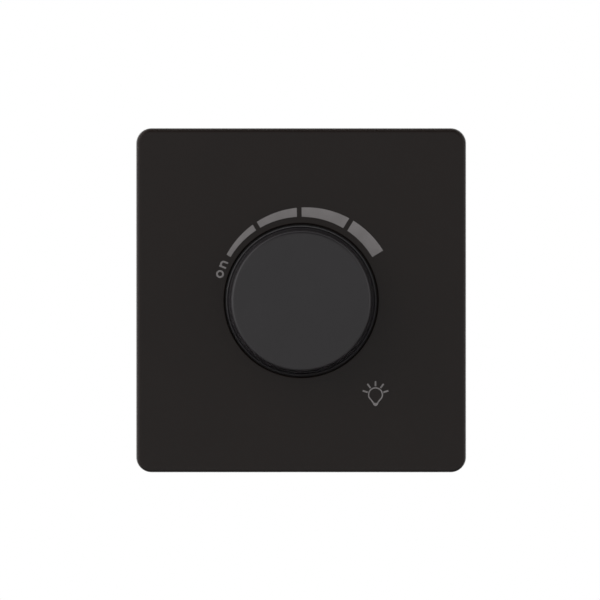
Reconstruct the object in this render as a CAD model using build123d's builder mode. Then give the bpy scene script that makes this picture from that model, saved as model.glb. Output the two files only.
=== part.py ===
from build123d import *
import os
from math import cos, isclose, radians

os.makedirs("parts", exist_ok=True)

# Rotary dimmer switch for a wall box, in millimetres.
# The wall is the plane Y = 0. Heights are measured from it: positive into the room (towards -Y),
# negative into the wall box. X runs to the right of the face plate and Z runs up.

# Face plate
plate_width = 86.0
plate_height = 89.7
plate_wall = 2.0
plate_corner_radius = 4.0
plate_edge_radius = 1.1
plate_draft = 1.5
plate_rim_gap = 0.4
plate_side_gap = 0.35
knob_hole_radius = 20.0
knob_hole_edge_radius = 0.4
well_wall = 1.2
well_floor = 1.2
well_floor_gap = 0.3
well_nut_gap = 1.0
hook_width = 8.0
hook_thickness = 1.4
hook_spacing = 44.0
hook_barb = 0.9
hook_tip = 1.3
hook_nose = 0.3
hook_play = 0.2
pry_notch_width = 10.0
pry_notch_height = 1.4

# Brightness scale printed on the plate
scale_margin = 1.45
scale_band = 2.05
scale_right = 0.06
scale_up = 0.33
scale_shift_right = 1.2
scale_shift_up = 0.4
scale_start = 31.4
scale_end = 148.4
scale_gap = 1.25
scale_gap_angles = (58.2, 91.25, 121.0)
print_thickness = 0.05

# Knob
knob_projection = 9.0
knob_sink = 1.6
knob_taper = 0.65
knob_edge_radius = 1.0
knob_lip_width = 0.65
knob_lip_height = 1.3
knob_lip_slope = 0.65
knob_lip_edge_radius = 0.2
knob_running_gap = 0.4
knob_wall = 1.7
knob_rib_count = 6
knob_rib_thickness = 1.2
knob_rib_height = 3.5
hub_radius = 5.2
hub_gap = 0.35
knob_travel = 300.0

# Mounting frame
frame_base = 2.2
frame_rim_wall = 1.5
frame_rim_gap = 0.2
frame_rib_thickness = 1.2
frame_rib_height = 2.0
frame_rib_inset = 4.6
frame_rib_count = 4
frame_rib_spacing = 16.0
wall_screw_spacing = 60.3
wall_slot_length = 8.0
wall_slot_width = 4.6
hook_window_gap = 0.5
hook_side_gap = 0.25
catch_height = 2.8
boss_radius = 2.9
boss_length = 3.0

# Rear case
case_width = 48.0
case_height = 54.0
case_wall = 1.6
case_back_wall = 1.8
case_corner_radius = 3.0
case_edge_radius = 1.0
case_window_gap = 0.3
flange_thickness = 1.6
flange_side = 1.0
flange_ear = 6.6
flange_corner_radius = 2.5
flange_locating_gap = 0.3
vent_width = 1.8
vent_length = 9.0
vent_pitch = 4.6
vent_count = 5
vent_drop = 2.0
back_vent_length = 13.0
back_vent_rise = 7.0
back_vent_count = 4
back_vent_spacing = 20.0
wire_mouth_radius = 2.5
wire_funnel_radius = 3.4
pocket_wall = 1.2
pocket_gap = 0.2
pocket_lead_gap = 0.3
barrier_length = 10.0
barrier_width = 1.6
barrier_height = 1.2

# Support plate and the screws that hold the stack
support_thickness = 1.5
support_corner_radius = 2.5
frame_screw_radius = 1.3
frame_screw_head_radius = 2.6
frame_screw_head_height = 1.4
frame_screw_hole_gap = 0.3
screw_head_gap = 0.3
screw_head_taper = 20.0
screw_tip_length = 1.0
screw_tip_taper = 30.0
thread_gap = 0.03

# Potentiometer
bushing_flange = 1.0
bushing_radius = 3.5
bushing_projection = 4.0
bushing_boss_radius = 4.6
bushing_boss_length = 1.0
locating_lug_width = 2.2
locating_lug_thickness = 1.0
locating_lug_height = 1.1
locating_lug_offset = 7.2
shaft_radius = 3.0
shaft_running_gap = 0.03
shaft_flat = 1.5
shaft_end_gap = 0.2
shaft_bore_gap = 0.02
tail_radius = 2.0
tail_in_switch = 4.0
clip_radius = 4.2
clip_thickness = 0.6
clip_groove_depth = 0.6
clip_play = 0.05
clip_mouth = 3.2
can_radius = 8.5
can_wall = 0.5
rotor_thickness = 1.6
rotor_rim_gap = 1.4
rotor_thrust_gap = 0.1
stop_lug_width = 2.4
stop_lug_gap = 0.4
stop_depth = 1.0
stop_gap = 0.25
wiper_thickness = 0.25
wiper_width = 1.6
wiper_reach = 0.7
wiper_taper = 20.0
wiper_gap = 0.05
wafer_thickness = 1.2
wafer_rim_gap = 0.2
wafer_tongue_width = 13.0
wafer_tongue_length = 4.0
tag_pitch = 5.0
tag_width = 1.2
tag_thickness = 0.5
tag_edge_gap = 0.3
switch_radius = 7.6
switch_length = 7.0
switch_edge_radius = 0.6
switch_bore_gap = 0.3
switch_pin_spacing = 8.0
switch_pin_offset = 3.0
nut_across_flats = 10.0
nut_thickness = 2.0
washer_radius = 5.6
washer_thickness = 0.5
washer_tooth_count = 8
washer_tooth_width = 1.4
washer_tooth_depth = 1.0

# Circuit board and its parts
board_thickness = 1.6
board_edge_gap = 0.7
board_corner_radius = 2.0
board_switch_gap = 0.8
post_radius = 2.4
post_inset = 3.2
peg_radius = 1.2
peg_gap = 0.15
peg_drop = 8.0
board_screw_radius = 1.0
board_screw_head_radius = 1.9
board_screw_head_height = 1.2
board_screw_length = 6.0
lead_radius = 0.35
lead_gap = 0.15
lead_tail = 1.2
lead_bend_radius = 0.8
part_gap = 0.6
triac_width = 10.0
triac_body_length = 9.2
triac_tab_length = 6.4
triac_thickness = 4.4
triac_tab_thickness = 1.3
triac_hole_radius = 1.8
triac_pitch = 2.54
triac_lead_run = 3.0
triac_pot_gap = 2.4
triac_edge = 0.5
pad_thickness = 0.25
pad_margin = 1.0
triac_screw_radius = 1.5
triac_screw_head_radius = 2.6
triac_screw_head_height = 1.8
choke_radius = 4.8
choke_height = 9.0
choke_flange = 1.2
choke_core_radius = 2.0
choke_winding_gap = 0.3
choke_lead_pitch = 6.0
suppressor_length = 15.0
suppressor_width = 8.0
suppressor_height = 12.0
suppressor_pitch = 12.0
suppressor_edge = 1.2
capacitor_corner_radius = 0.6
timing_length = 7.2
timing_width = 3.0
timing_height = 7.0
timing_pitch = 5.0
timing_gap = 2.0
resistor_radius = 1.2
resistor_length = 6.4
resistor_span = 9.4
resistor_pitch = 3.6
axial_gap = 3.6
axial_edge = 2.4
axial_standoff = 0.3
axial_edge_radius = 0.4
diac_radius = 1.0
diac_length = 4.2
diac_span = 8.0
fuse_radius = 2.6
fuse_length = 14.0
fuse_span = 19.0
fuse_edge = 1.4
fuse_gap = 2.4

# Wire terminals
pillar_width = 7.0
pillar_height = 9.0
pillar_length = 9.5
pillar_side_room = 8.9
pillar_edge = 0.5
pillar_wall_gap = 0.5
pillar_back_gap = 0.3
wire_hole_radius = 1.9
wire_hole_depth = 8.0
wire_hole_edge = 2.9
pillar_leg_radius = 0.6
pillar_leg_shift = 1.2
terminal_screw_radius = 1.75
terminal_screw_head_radius = 3.0
terminal_screw_head_gap = 0.3
terminal_screw_recess = 0.3
terminal_screw_slot = 0.8
terminal_screw_slot_depth = 1.0
terminal_screw_back_off = 0.3

# Heights of the stack, from the wall outwards
flange_front = frame_base + flange_thickness
support_front = flange_front + support_thickness
plate_inner = support_front + frame_screw_head_height + screw_head_gap
plate_front = plate_inner + plate_wall
knob_face = plate_front + knob_projection
knob_inner = knob_face - knob_wall
knob_rim = plate_front - knob_sink
well_floor_back = support_front + well_floor_gap
well_floor_front = well_floor_back + well_floor
knob_lip_front = plate_front + knob_lip_height
bushing_front = support_front + bushing_projection
clip_back = bushing_front + clip_play
clip_front = clip_back + clip_thickness
hub_back = clip_front + hub_gap
shaft_front = knob_inner - shaft_end_gap

# Heights of the stack, from the support plate into the wall box
bushing_back = flange_front - bushing_flange
boss_back = bushing_back - bushing_boss_length
rotor_front = boss_back - rotor_thrust_gap
rotor_back = rotor_front - rotor_thickness
wiper_back = rotor_back - wiper_thickness
wafer_front = wiper_back - wiper_reach
wafer_back = wafer_front - wafer_thickness
can_back = wafer_back - can_wall
switch_back = can_back - switch_length
tail_back = can_back - tail_in_switch
board_front = switch_back - board_switch_gap
board_back = board_front - board_thickness
lead_end = board_back - lead_tail
pillar_back = board_back - pillar_length
case_floor = pillar_back - pillar_back_gap
case_back = case_floor - case_back_wall

# Sizes and places across the wall
plate_inner_width = plate_width - 2 * plate_wall
plate_inner_height = plate_height - 2 * plate_wall
frame_width = plate_inner_width - 2 * plate_side_gap
frame_height = plate_inner_height - 2 * plate_side_gap
frame_corner_radius = plate_corner_radius - plate_wall
frame_rim_front = plate_inner - frame_rim_gap
hook_outer = frame_height / 2 - frame_rim_wall - hook_side_gap
hook_inner = hook_outer - hook_thickness
rib_loop_width = frame_width - 2 * frame_rib_inset
window_width = case_width + 2 * case_window_gap
window_height = case_height + 2 * case_window_gap
flange_width = case_width + 2 * flange_side
flange_height = case_height + 2 * flange_ear
rib_loop_height = flange_height + 2 * (flange_locating_gap + frame_rib_thickness)
frame_screw_x = flange_width / 2 - boss_radius - flange_side
frame_screw_z = window_height / 2 + boss_radius + case_window_gap
frame_screw_points = [
    (side_x * frame_screw_x, side_z * frame_screw_z) for side_x in (-1, 1) for side_z in (-1, 1)
]
scale_inner_radius = knob_hole_radius + scale_margin
scale_outer_radius = scale_inner_radius + scale_band
knob_lip_radius = knob_hole_radius - knob_running_gap
knob_side_radius = knob_lip_radius - knob_lip_width
knob_top_radius = knob_side_radius - knob_taper
nut_corner_radius = nut_across_flats / 2 / cos(radians(30))
knob_rim_radius = knob_lip_radius - knob_wall
knob_inner_radius = knob_top_radius - knob_wall
case_inner_width = case_width - 2 * case_wall
case_inner_height = case_height - 2 * case_wall
case_inner_radius = case_corner_radius - case_wall
board_width = case_inner_width - 2 * board_edge_gap
board_height = case_inner_height - 2 * board_edge_gap
post_x = board_width / 2 - post_inset
post_z = board_height / 2 - post_inset
screw_posts = [(-post_x, post_z), (post_x, -post_z)]
peg_posts = [(-post_x, -peg_drop), (post_x, post_z)]
shaft_bore_radius = shaft_radius + shaft_running_gap
rotor_radius = can_radius - can_wall - rotor_rim_gap
stop_lug_radius = can_radius - can_wall - stop_lug_gap
stop_radius = can_radius - can_wall - stop_depth
stop_width = 2 * (stop_radius * radians((360 - knob_travel) / 2) - stop_lug_width / 2 - stop_gap)
off_angle = 270 - (360 - knob_travel) / 2
tongue_end = can_radius + wafer_tongue_length
tag_z = -(tongue_end + tag_edge_gap + tag_thickness / 2)
tag_x = [-tag_pitch, 0, tag_pitch]
switch_pin_points = [(side * switch_pin_spacing / 2, switch_pin_offset) for side in (-1, 1)]
pillar_offset = case_inner_width / 2 - pillar_side_room - pillar_width / 2
pillar_x = [-pillar_offset, pillar_offset]
pillar_bottom = -case_inner_height / 2 + pillar_wall_gap
pillar_z = pillar_bottom + pillar_height / 2
pillar_middle = (board_back + pillar_back) / 2
wire_z = pillar_bottom + pillar_height - wire_hole_edge
triac_z = can_radius + triac_pot_gap + triac_width / 2
triac_tab_end = (triac_tab_length + triac_body_length) / 2
triac_body_end = triac_tab_end - triac_tab_length
triac_body_start = triac_body_end - triac_body_length
triac_hole_x = triac_body_end + triac_tab_length / 2
triac_lead_x = triac_body_start - triac_lead_run
triac_leads = [(triac_lead_x, triac_z + step * triac_pitch) for step in (-1, 0, 1)]
choke_x = -(board_width / 2 - part_gap - choke_radius)
choke_z = -(board_height / 2 - part_gap - choke_radius)
choke_leads = [(choke_x, choke_z + side * choke_lead_pitch / 2) for side in (-1, 1)]
suppressor_x = board_width / 2 - suppressor_edge - suppressor_width / 2
suppressor_z = -post_z + board_screw_head_radius + part_gap + suppressor_length / 2
suppressor_leads = [(suppressor_x, suppressor_z + side * suppressor_pitch / 2) for side in (-1, 1)]
axial_z = suppressor_z + suppressor_length / 2 + axial_gap + resistor_span / 2
diac_x = board_width / 2 - axial_edge
resistor_x = [diac_x - step * resistor_pitch for step in (2, 1)]
fuse_x = -(board_width / 2 - fuse_edge - fuse_radius)
fuse_z = post_z - board_screw_head_radius - fuse_gap - fuse_span / 2
timing_x = resistor_x[1]
timing_z = axial_z + resistor_span / 2 + timing_gap + timing_width / 2
timing_leads = [(timing_x + side * timing_pitch / 2, timing_z) for side in (-1, 1)]


def facing_room(height):
    """Plane parallel to the wall at a height above it, facing into the room."""
    return Plane.XZ.offset(height)


def facing_box(height):
    """Plane parallel to the wall at a height above it, facing into the wall box."""
    return Plane(origin=(0, -height, 0), x_dir=(-1, 0, 0), z_dir=(0, 1, 0))


def facing_right(x):
    """Plane across the plate at a distance to the right, drawn in Z and height."""
    return Plane(origin=(x, 0, 0), x_dir=(0, 0, 1), z_dir=(1, 0, 0))


def facing_down(x, z):
    """Plane across the axis of a terminal screw, facing down out of the case."""
    return Plane(origin=(x, -pillar_middle, z), z_dir=(0, 0, -1))


# Half section of everything that is round about the knob's axis, drawn in radius and height
knob_section = Plane(origin=(0, 0, 0), x_dir=(1, 0, 0), z_dir=(0, 0, -1))


def axial_part(x, z, radius, length, span):
    """Round body along Z on the board, with one wire through it bent down into two holes."""
    height = board_front + radius + axial_standoff
    low, high = z - span / 2, z + span / 2
    with BuildPart() as axial:
        with BuildLine(facing_right(x)) as wire:
            corners = (low, lead_end), (low, height), (high, height), (high, lead_end)
            FilletPolyline(*corners, radius=lead_bend_radius)
        with BuildSketch(Plane(origin=wire.line @ 0, z_dir=wire.line % 0)):
            Circle(lead_radius)
        sweep(path=wire.line)
        with BuildSketch(Plane(origin=(x, -height, z - length / 2), z_dir=(0, 0, 1))):
            Circle(radius)
        extrude(amount=length)
        circles = axial.edges().filter_by(GeomType.CIRCLE)
        fillet(circles.filter_by(lambda edge: isclose(edge.radius, radius)), axial_edge_radius)
    return axial.part


# Face plate: drafted shell with a floored well for the knob and four snap hooks
with BuildPart() as face_plate:
    with BuildSketch(facing_room(plate_rim_gap)):
        RectangleRounded(plate_width, plate_height, plate_corner_radius)
    extrude(amount=plate_front - plate_rim_gap, taper=plate_draft)
    fillet(face_plate.faces().sort_by(Axis.Y)[0].edges(), plate_edge_radius)
    with BuildSketch(facing_room(plate_rim_gap)):
        RectangleRounded(plate_inner_width, plate_inner_height, frame_corner_radius)
    extrude(amount=plate_inner - plate_rim_gap, mode=Mode.SUBTRACT)
    with BuildSketch(facing_room(well_floor_back)):
        Circle(knob_hole_radius + well_wall)
    extrude(amount=plate_inner - well_floor_back)
    with BuildSketch(facing_room(well_floor_front)):
        Circle(knob_hole_radius)
    extrude(amount=plate_front - well_floor_front, mode=Mode.SUBTRACT)
    with BuildSketch(facing_room(well_floor_back)):
        Circle(nut_corner_radius + well_nut_gap)
    extrude(amount=well_floor, mode=Mode.SUBTRACT)
    hole_edges = face_plate.faces().sort_by(Axis.Y)[0].edges().filter_by(GeomType.CIRCLE)
    fillet(hole_edges.sort_by(SortBy.LENGTH)[-1], knob_hole_edge_radius)
    for x in (-hook_spacing / 2, hook_spacing / 2):
        with BuildSketch(facing_right(x - hook_width / 2)):
            for side in (-1, 1):
                with BuildLine():
                    Polyline(
                        (side * hook_inner, plate_inner),
                        (side * hook_outer, plate_inner),
                        (side * hook_outer, catch_height - hook_play),
                        (side * (hook_outer + hook_barb), catch_height - hook_play),
                        (side * (hook_outer + hook_barb), catch_height - hook_play - hook_nose),
                        (side * hook_outer, hook_tip),
                        (side * hook_inner, hook_tip),
                        close=True,
                    )
                make_face()
        extrude(amount=hook_width)
    with BuildSketch(facing_room(plate_rim_gap)):
        with Locations((0, -plate_height / 2)):
            Rectangle(pry_notch_width, 2 * (plate_wall - plate_side_gap))
    extrude(amount=pry_notch_height, mode=Mode.SUBTRACT)
face_plate.part.label = "face_plate"
export_step(face_plate.part, "parts/face_plate.step")

# Brightness scale: a crescent between two circles, cut into four steps
with BuildPart() as brightness_scale:
    with BuildSketch(facing_room(plate_front)):
        with Locations((scale_right + scale_shift_right, scale_up + scale_shift_up)):
            Circle(scale_outer_radius)
        with Locations((scale_right, scale_up)):
            Circle(scale_inner_radius, mode=Mode.SUBTRACT)
        for angle, turn in ((scale_start, -90), (scale_end, 90)):
            with Locations(Location((0, 0), angle + turn)):
                Rectangle(
                    4 * scale_outer_radius,
                    4 * scale_outer_radius,
                    align=(Align.MIN, Align.CENTER),
                    mode=Mode.SUBTRACT,
                )
        for angle in scale_gap_angles:
            with Locations(Location((0, 0), angle)):
                Rectangle(
                    2 * scale_outer_radius,
                    scale_gap,
                    align=(Align.MIN, Align.CENTER),
                    mode=Mode.SUBTRACT,
                )
    extrude(amount=print_thickness)
brightness_scale.part.label = "brightness_scale"
export_step(brightness_scale.part, "parts/brightness_scale.step")

# Knob: drafted cap with a sloping base lip, a hub with a flatted bore and stiffening ribs
with BuildPart() as knob:
    with BuildSketch(knob_section):
        with BuildLine():
            Polyline(
                (0, knob_face),
                (knob_top_radius, knob_face),
                (knob_side_radius, knob_lip_front),
                (knob_lip_radius, knob_lip_front - knob_lip_slope),
                (knob_lip_radius, knob_rim),
                (knob_rim_radius, knob_rim),
                (knob_inner_radius, knob_inner),
                (0, knob_inner),
                close=True,
            )
        make_face()
    revolve(axis=Axis.Y)
    fillet(knob.edges().group_by(Axis.Y)[0], knob_edge_radius)
    lip_edges = knob.edges().filter_by(GeomType.CIRCLE).group_by(SortBy.RADIUS)[-1]
    fillet(lip_edges.sort_by(Axis.Y)[0], knob_lip_edge_radius)
    with BuildSketch(facing_box(knob_inner)):
        Circle(hub_radius)
    extrude(amount=knob_inner - hub_back)
    with BuildSketch(facing_box(knob_inner)):
        with PolarLocations(0, knob_rib_count):
            Rectangle(knob_inner_radius, knob_rib_thickness, align=(Align.MIN, Align.CENTER))
    extrude(amount=knob_rib_height)
    with BuildSketch(facing_box(knob_inner)):
        Circle(shaft_radius + shaft_bore_gap)
        with Locations((0, shaft_radius - shaft_flat + shaft_bore_gap)):
            Rectangle(2 * hub_radius, hub_radius, align=(Align.CENTER, Align.MIN), mode=Mode.SUBTRACT)
    extrude(amount=knob_inner - hub_back, mode=Mode.SUBTRACT)
knob.part.label = "knob"
export_step(knob.part, "parts/knob.step")

# Mounting frame: tray that screws to the wall box, with windows for the plate's hooks
with BuildPart() as mounting_frame:
    with BuildSketch(facing_room(0)):
        RectangleRounded(frame_width, frame_height, frame_corner_radius)
    extrude(amount=frame_base)
    with BuildSketch(facing_room(0)):
        RectangleRounded(frame_width, frame_height, frame_corner_radius)
        Rectangle(frame_width - 2 * frame_rim_wall, frame_height - 2 * frame_rim_wall, mode=Mode.SUBTRACT)
    extrude(amount=frame_rim_front)
    with BuildSketch(facing_room(frame_base)):
        Rectangle(rib_loop_width, rib_loop_height)
        Rectangle(
            rib_loop_width - 2 * frame_rib_thickness,
            rib_loop_height - 2 * frame_rib_thickness,
            mode=Mode.SUBTRACT,
        )
        with GridLocations(frame_width - frame_rib_inset, frame_rib_spacing, 2, frame_rib_count):
            Rectangle(frame_rib_inset, frame_rib_thickness)
    extrude(amount=frame_rib_height)
    with BuildSketch(facing_box(0)):
        with Locations(*frame_screw_points):
            Circle(boss_radius)
    extrude(amount=boss_length)
    with BuildSketch(facing_room(-boss_length)):
        with Locations(*frame_screw_points):
            Circle(frame_screw_radius + thread_gap)
    extrude(amount=boss_length + frame_base, mode=Mode.SUBTRACT)
    with BuildSketch(facing_room(0)):
        RectangleRounded(window_width, window_height, case_corner_radius)
        with GridLocations(wall_screw_spacing, 0, 2, 1):
            SlotOverall(wall_slot_length, wall_slot_width)
    extrude(amount=frame_base + frame_rib_height, mode=Mode.SUBTRACT)
    hook_window_width = hook_width + 2 * hook_window_gap
    hook_relief = hook_thickness + hook_side_gap + hook_window_gap
    for side in (-1, 1):
        with BuildSketch(facing_room(0)):
            with Locations((0, side * (frame_height / 2 - frame_rim_wall - hook_relief / 2))):
                with GridLocations(hook_spacing, 0, 2, 1):
                    Rectangle(hook_window_width, hook_relief)
        extrude(amount=frame_base + frame_rib_height, mode=Mode.SUBTRACT)
        with BuildSketch(facing_room(hook_tip - hook_window_gap)):
            with Locations((0, side * (frame_height / 2 - frame_rim_wall / 2))):
                with GridLocations(hook_spacing, 0, 2, 1):
                    Rectangle(hook_window_width, frame_rim_wall)
        extrude(amount=catch_height - hook_tip + hook_window_gap, mode=Mode.SUBTRACT)
mounting_frame.part.label = "mounting_frame"
export_step(mounting_frame.part, "parts/mounting_frame.step")

# Rear case: flanged box with vents in its sides and back, board posts, terminal pockets and wire mouths
with BuildPart() as rear_case:
    with BuildSketch(facing_box(flange_front)):
        RectangleRounded(case_width, case_height, case_corner_radius)
    extrude(amount=flange_front - case_back)
    fillet(rear_case.faces().sort_by(Axis.Y)[-1].edges(), case_edge_radius)
    with BuildSketch(facing_room(frame_base)):
        RectangleRounded(flange_width, flange_height, flange_corner_radius)
    extrude(amount=flange_thickness)
    with BuildSketch(facing_box(flange_front)):
        RectangleRounded(case_inner_width, case_inner_height, case_inner_radius)
    extrude(amount=flange_front - case_floor, mode=Mode.SUBTRACT)
    with BuildSketch(facing_room(frame_base)):
        with Locations(*frame_screw_points):
            Circle(frame_screw_radius + frame_screw_hole_gap)
    extrude(amount=flange_thickness, mode=Mode.SUBTRACT)
    with BuildSketch(facing_room(case_floor)):
        with Locations(*screw_posts, *peg_posts):
            Circle(post_radius)
    extrude(amount=board_back - case_floor)
    with BuildSketch(facing_room(board_back)):
        with Locations(*peg_posts):
            Circle(peg_radius)
    extrude(amount=board_thickness - peg_gap)
    with BuildSketch(facing_box(board_back)):
        with Locations(*[(-x, z) for x, z in screw_posts]):
            Circle(board_screw_radius + thread_gap)
    extrude(amount=board_screw_length, mode=Mode.SUBTRACT)
    pocket_width = pillar_width + 2 * pocket_gap
    pocket_top = pillar_bottom + pillar_height + pocket_gap
    with BuildSketch(facing_room(case_floor)):
        with Locations(*[(x, pocket_top + pocket_wall) for x in pillar_x]):
            Rectangle(
                pocket_width + 2 * pocket_wall,
                pocket_top + pocket_wall + case_inner_height / 2,
                align=(Align.CENTER, Align.MAX),
            )
        with Locations(*[(x, pocket_top) for x in pillar_x]):
            Rectangle(
                pocket_width,
                pocket_top + case_inner_height / 2,
                align=(Align.CENTER, Align.MAX),
                mode=Mode.SUBTRACT,
            )
    extrude(amount=lead_end - pocket_lead_gap - case_floor)
    with BuildSketch(facing_box(case_back)):
        with Locations((0, wire_z)):
            SlotOverall(barrier_length, barrier_width, rotation=90)
    extrude(amount=barrier_height)
    with Locations(*[Plane(origin=(x, -case_back, wire_z), z_dir=(0, 1, 0)) for x in pillar_x]):
        CounterSinkHole(wire_mouth_radius, wire_funnel_radius, depth=case_back_wall)
    with Locations(*[facing_down(x, -case_height / 2) for x in pillar_x]):
        Hole(terminal_screw_head_radius + terminal_screw_head_gap, depth=case_wall)
    with BuildSketch(facing_right(0)):
        with Locations((0, -vent_drop - vent_length / 2)):
            with GridLocations(vent_pitch, 0, vent_count, 1):
                SlotOverall(vent_length, vent_width, rotation=90)
    extrude(amount=case_width / 2, both=True, mode=Mode.SUBTRACT)
    with BuildSketch(facing_box(case_floor)):
        with Locations((0, back_vent_rise)):
            with GridLocations(back_vent_spacing, vent_pitch, 2, back_vent_count):
                SlotOverall(back_vent_length, vent_width)
    extrude(amount=case_back_wall, mode=Mode.SUBTRACT)
rear_case.part.label = "rear_case"
export_step(rear_case.part, "parts/rear_case.step")

# Support plate: flat aluminium plate under the nut, which also cools the triac
with BuildPart() as support_plate:
    with BuildSketch(facing_room(flange_front)):
        RectangleRounded(flange_width, flange_height, support_corner_radius)
        Circle(bushing_radius + thread_gap, mode=Mode.SUBTRACT)
        with Locations(*frame_screw_points):
            Circle(frame_screw_radius + frame_screw_hole_gap, mode=Mode.SUBTRACT)
        with Locations((0, locating_lug_offset)):
            Rectangle(
                locating_lug_width + 2 * lead_gap,
                locating_lug_thickness + 2 * lead_gap,
                mode=Mode.SUBTRACT,
            )
        with Locations((triac_hole_x, triac_z)):
            Circle(triac_screw_radius + thread_gap, mode=Mode.SUBTRACT)
    extrude(amount=support_thickness)
support_plate.part.label = "support_plate"
export_step(support_plate.part, "parts/support_plate.step")

# Frame screws: pan heads on the support plate, threads in the frame's bosses
with BuildPart() as frame_screws:
    with BuildSketch(facing_room(support_front)):
        with Locations(*frame_screw_points):
            Circle(frame_screw_head_radius)
    extrude(amount=frame_screw_head_height, taper=screw_head_taper)
    with BuildSketch(facing_room(-boss_length + screw_tip_length)):
        with Locations(*frame_screw_points):
            Circle(frame_screw_radius)
    extrude(amount=support_front + boss_length - screw_tip_length)
    with BuildSketch(facing_box(-boss_length + screw_tip_length)):
        with Locations(*frame_screw_points):
            Circle(frame_screw_radius)
    extrude(amount=screw_tip_length, taper=screw_tip_taper)
frame_screws.part.label = "frame_screws"
export_step(frame_screws.part, "parts/frame_screws.step")

# Potentiometer bushing: flange, threaded neck, rear bearing boss and locating lug
with BuildPart() as pot_bushing:
    with BuildSketch(knob_section):
        with BuildLine():
            Polyline(
                (shaft_bore_radius, bushing_front),
                (bushing_radius, bushing_front),
                (bushing_radius, flange_front),
                (can_radius, flange_front),
                (can_radius, bushing_back),
                (bushing_boss_radius, bushing_back),
                (bushing_boss_radius, boss_back),
                (shaft_bore_radius, boss_back),
                close=True,
            )
        make_face()
    revolve(axis=Axis.Y)
    with BuildSketch(facing_room(flange_front)):
        with Locations((0, locating_lug_offset)):
            Rectangle(locating_lug_width, locating_lug_thickness)
    extrude(amount=locating_lug_height)
pot_bushing.part.label = "pot_bushing"
export_step(pot_bushing.part, "parts/pot_bushing.step")

# Shaft: flatted front end for the knob, groove for the clip, thin tail for rotor and switch
with BuildPart() as pot_shaft:
    groove_radius = shaft_radius - clip_groove_depth
    with BuildSketch(knob_section):
        with BuildLine():
            Polyline(
                (0, shaft_front),
                (shaft_radius, shaft_front),
                (shaft_radius, clip_front + clip_play),
                (groove_radius, clip_front + clip_play),
                (groove_radius, clip_back - clip_play),
                (shaft_radius, clip_back - clip_play),
                (shaft_radius, rotor_front),
                (tail_radius, rotor_front),
                (tail_radius, tail_back),
                (0, tail_back),
                close=True,
            )
        make_face()
    revolve(axis=Axis.Y)
    with BuildSketch(facing_room(hub_back)):
        with Locations((0, shaft_radius - shaft_flat)):
            Rectangle(2 * shaft_radius, shaft_radius, align=(Align.CENTER, Align.MIN))
    extrude(amount=shaft_front - hub_back, mode=Mode.SUBTRACT)
pot_shaft.part.label = "pot_shaft"
export_step(pot_shaft.part, "parts/pot_shaft.step")

# Clip: open ring in the shaft's groove, in front of the bushing
with BuildPart() as shaft_clip:
    with BuildSketch(facing_room(clip_back)):
        Circle(clip_radius)
        Circle(groove_radius + clip_play, mode=Mode.SUBTRACT)
        Rectangle(clip_mouth, clip_radius, align=(Align.CENTER, Align.MAX), mode=Mode.SUBTRACT)
    extrude(amount=clip_thickness)
shaft_clip.part.label = "shaft_clip"
export_step(shaft_clip.part, "parts/shaft_clip.step")

# Rotor: moulded disc on the shaft's tail, with the lug that meets the end stop
with BuildPart() as pot_rotor:
    with BuildSketch(facing_box(rotor_front)):
        Circle(rotor_radius)
        with Locations(Location((0, 0), 180 - off_angle)):
            Rectangle(stop_lug_radius, stop_lug_width, align=(Align.MIN, Align.CENTER))
        Circle(tail_radius + shaft_bore_gap, mode=Mode.SUBTRACT)
    extrude(amount=rotor_thickness)
pot_rotor.part.label = "pot_rotor"
export_step(pot_rotor.part, "parts/pot_rotor.step")

# Wiper: bronze ring under the rotor with two fingers that reach the resistance track
with BuildPart() as pot_wiper:
    wiper_ring_radius = (rotor_radius + tail_radius) / 2
    with BuildSketch(facing_box(rotor_back)):
        Circle(wiper_ring_radius)
        with PolarLocations(0, 2):
            Rectangle(rotor_radius - wiper_gap, wiper_width, align=(Align.MIN, Align.CENTER))
        Circle(tail_radius + shaft_bore_gap, mode=Mode.SUBTRACT)
    extrude(amount=wiper_thickness)
    with BuildSketch(facing_box(wiper_back)):
        with PolarLocations(rotor_radius - wiper_width, 2):
            Circle(wiper_width / 2)
    extrude(amount=wiper_reach - wiper_gap, taper=wiper_taper)
pot_wiper.part.label = "pot_wiper"
export_step(pot_wiper.part, "parts/pot_wiper.step")

# Wafer: insulating disc that carries the resistance track, with a tongue for the tags
with BuildPart() as pot_wafer:
    with BuildSketch(facing_box(wafer_front)):
        Circle(can_radius - can_wall - wafer_rim_gap)
        Rectangle(wafer_tongue_width, tongue_end, align=(Align.CENTER, Align.MAX))
        Circle(tail_radius + switch_bore_gap, mode=Mode.SUBTRACT)
    extrude(amount=wafer_thickness)
pot_wafer.part.label = "pot_wafer"
export_step(pot_wafer.part, "parts/pot_wafer.step")

# Tags: three bent strips from the tongue to the board
with BuildPart() as pot_tags:
    for x in tag_x:
        with BuildSketch(facing_right(x - tag_width / 2)):
            with BuildLine():
                Polyline(
                    (-can_radius - tag_thickness, wafer_front),
                    (-can_radius - tag_thickness, wafer_front + tag_thickness),
                    (tag_z - tag_thickness / 2, wafer_front + tag_thickness),
                    (tag_z - tag_thickness / 2, lead_end),
                    (tag_z + tag_thickness / 2, lead_end),
                    (tag_z + tag_thickness / 2, wafer_front),
                    close=True,
                )
            make_face()
        extrude(amount=tag_width)
pot_tags.part.label = "pot_tags"
export_step(pot_tags.part, "parts/pot_tags.step")

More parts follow.
